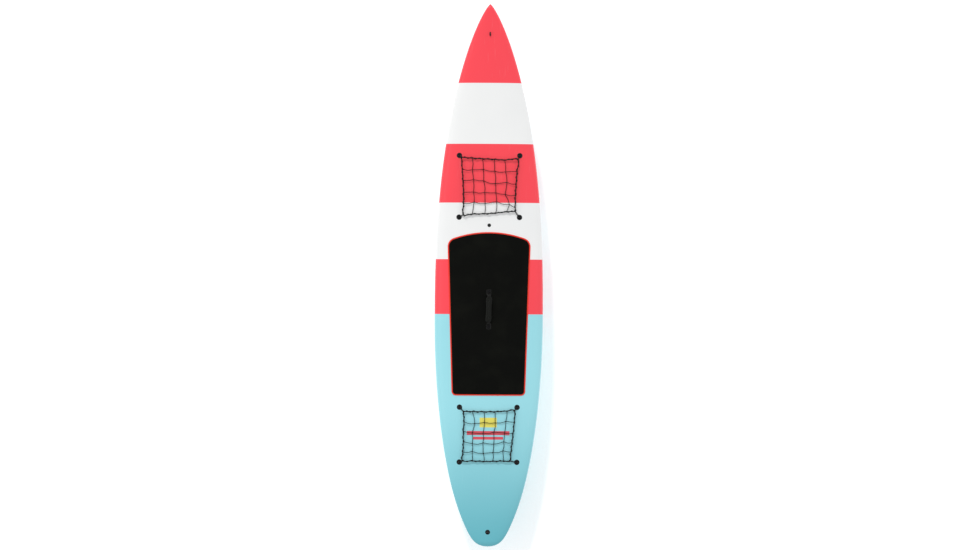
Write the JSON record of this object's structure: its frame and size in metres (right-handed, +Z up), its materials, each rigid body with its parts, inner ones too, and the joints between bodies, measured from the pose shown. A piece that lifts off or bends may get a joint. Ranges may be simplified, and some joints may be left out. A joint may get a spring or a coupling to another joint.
{
  "type": "stand up paddleboard",
  "caption": "Rigid touring paddleboard: foam core in a painted shell, foam deck pad, lifting strap handle, cargo nets on plugs, vent, leash cup, bow eye and a sliding screw-held fin.",
  "frame": {"origin": "on the flat of the bottom, below the middle of the length and on the centre line", "axes": "+Y towards the nose, +Z up through the deck, +X towards the right-hand rail seen from behind"},
  "size_m": [0.762, 3.81, 0.3898],
  "materials": {
    "foam_core": "closed-cell expanded polystyrene",
    "stringer_wood": "bare plywood",
    "deck_paint": "glossy painted laminate in coral, white and aqua bands",
    "hull_paint": "glossy painted laminate",
    "pad_colour": "closed-cell EVA foam",
    "pad_black": "grooved closed-cell EVA foam",
    "grip_fabric": "neoprene sleeve",
    "webbing": "woven nylon",
    "brass": "turned brass",
    "stainless": "stainless steel",
    "membrane": "breathable white membrane",
    "rubber": "nitrile rubber",
    "elastic_cord": "braided elastic cord",
    "net_twine": "knotted twine",
    "dense_foam": "dense foam",
    "fin_plastic": "moulded nylon",
    "black_plastic": "moulded plastic"
  },
  "bodies": {
    "board": {"core_left": "foam_core", "core_right": "foam_core", "stringer": "stringer_wood", "deck_skin": "deck_paint", "hull_skin": "hull_paint", "pad_base": "pad_colour", "pad_top": "pad_black", "handle_insert_front": "brass", "handle_insert_rear": "brass", "handle_washer_front": "stainless", "handle_washer_rear": "stainless", "handle_screw_front": "stainless", "handle_screw_rear": "stainless", "vent_housing": "black_plastic", "vent_membrane": "membrane", "leash_cup": "black_plastic", "leash_pin": "stainless", "bow_eye": "black_plastic", "net_plug_front_left_fore": "black_plastic", "net_plug_front_right_fore": "black_plastic", "net_plug_front_right_aft": "black_plastic", "net_plug_front_left_aft": "black_plastic", "net_plug_rear_left_fore": "black_plastic", "net_plug_rear_right_fore": "black_plastic", "net_plug_rear_right_aft": "black_plastic", "net_plug_rear_left_aft": "black_plastic", "net_pin_front_left_fore": "stainless", "net_pin_front_right_fore": "stainless", "net_pin_front_right_aft": "stainless", "net_pin_front_left_aft": "stainless", "net_pin_rear_left_fore": "stainless", "net_pin_rear_right_fore": "stainless", "net_pin_rear_right_aft": "stainless", "net_pin_rear_left_aft": "stainless", "front_net_border": "elastic_cord", "rear_net_border": "elastic_cord", "front_net_mesh": "net_twine", "rear_net_mesh": "net_twine", "front_net_loops": "elastic_cord", "rear_net_loops": "elastic_cord", "fin_box": "black_plastic", "fin_box_block": "dense_foam"},
    "handle": {"handle_grip": "grip_fabric", "handle_webbing": "webbing"},
    "vent_seal": {"vent_o_ring": "rubber"},
    "vent_screw": {"vent_screw": "black_plastic"},
    "fin": {"fin": "fin_plastic", "fin_pin": "brass", "fin_nut": "stainless"},
    "fin_washer": {"fin_washer": "stainless"},
    "fin_screw": {"fin_screw": "stainless"}
  },
  "joints": [
    {"name": "handle_lift", "type": "slide", "parent": "board", "child": "handle", "axis": [0, 0, 1], "range_m": [0, 0.025], "deforming": ["handle_webbing"]},
    {"name": "vent_seal_rise", "type": "slide", "parent": "board", "child": "vent_seal", "axis": [0, 0.0047, 1], "range_m": [0, 0.00375]},
    {"name": "vent_screw_turn", "type": "hinge", "parent": "vent_seal", "child": "vent_screw", "pos_m": [0, 0.354, 0.14895], "axis": [0, 0.0047, 1], "range_deg": [0, 1090]},
    {"name": "fin_slide", "type": "slide", "parent": "board", "child": "fin", "axis": [0, 0.9988, -0.0482], "range_m": [-0.038, 0.038]},
    {"name": "fin_washer_drop", "type": "slide", "parent": "fin", "child": "fin_washer", "axis": [0, -0.0482, -0.9988], "range_m": [0, 0.0021]},
    {"name": "fin_screw_turn", "type": "hinge", "parent": "fin_washer", "child": "fin_screw", "pos_m": [0, -1.36958, 0.01726], "axis": [0, -0.0482, -0.9988], "range_deg": [0, 1090]}
  ],
  "couplings": [
    {"joint": "vent_screw_turn", "follows": "vent_seal_rise", "rad_per_m": 5026.5},
    {"joint": "fin_screw_turn", "follows": "fin_washer_drop", "rad_per_m": 8976}
  ]
}
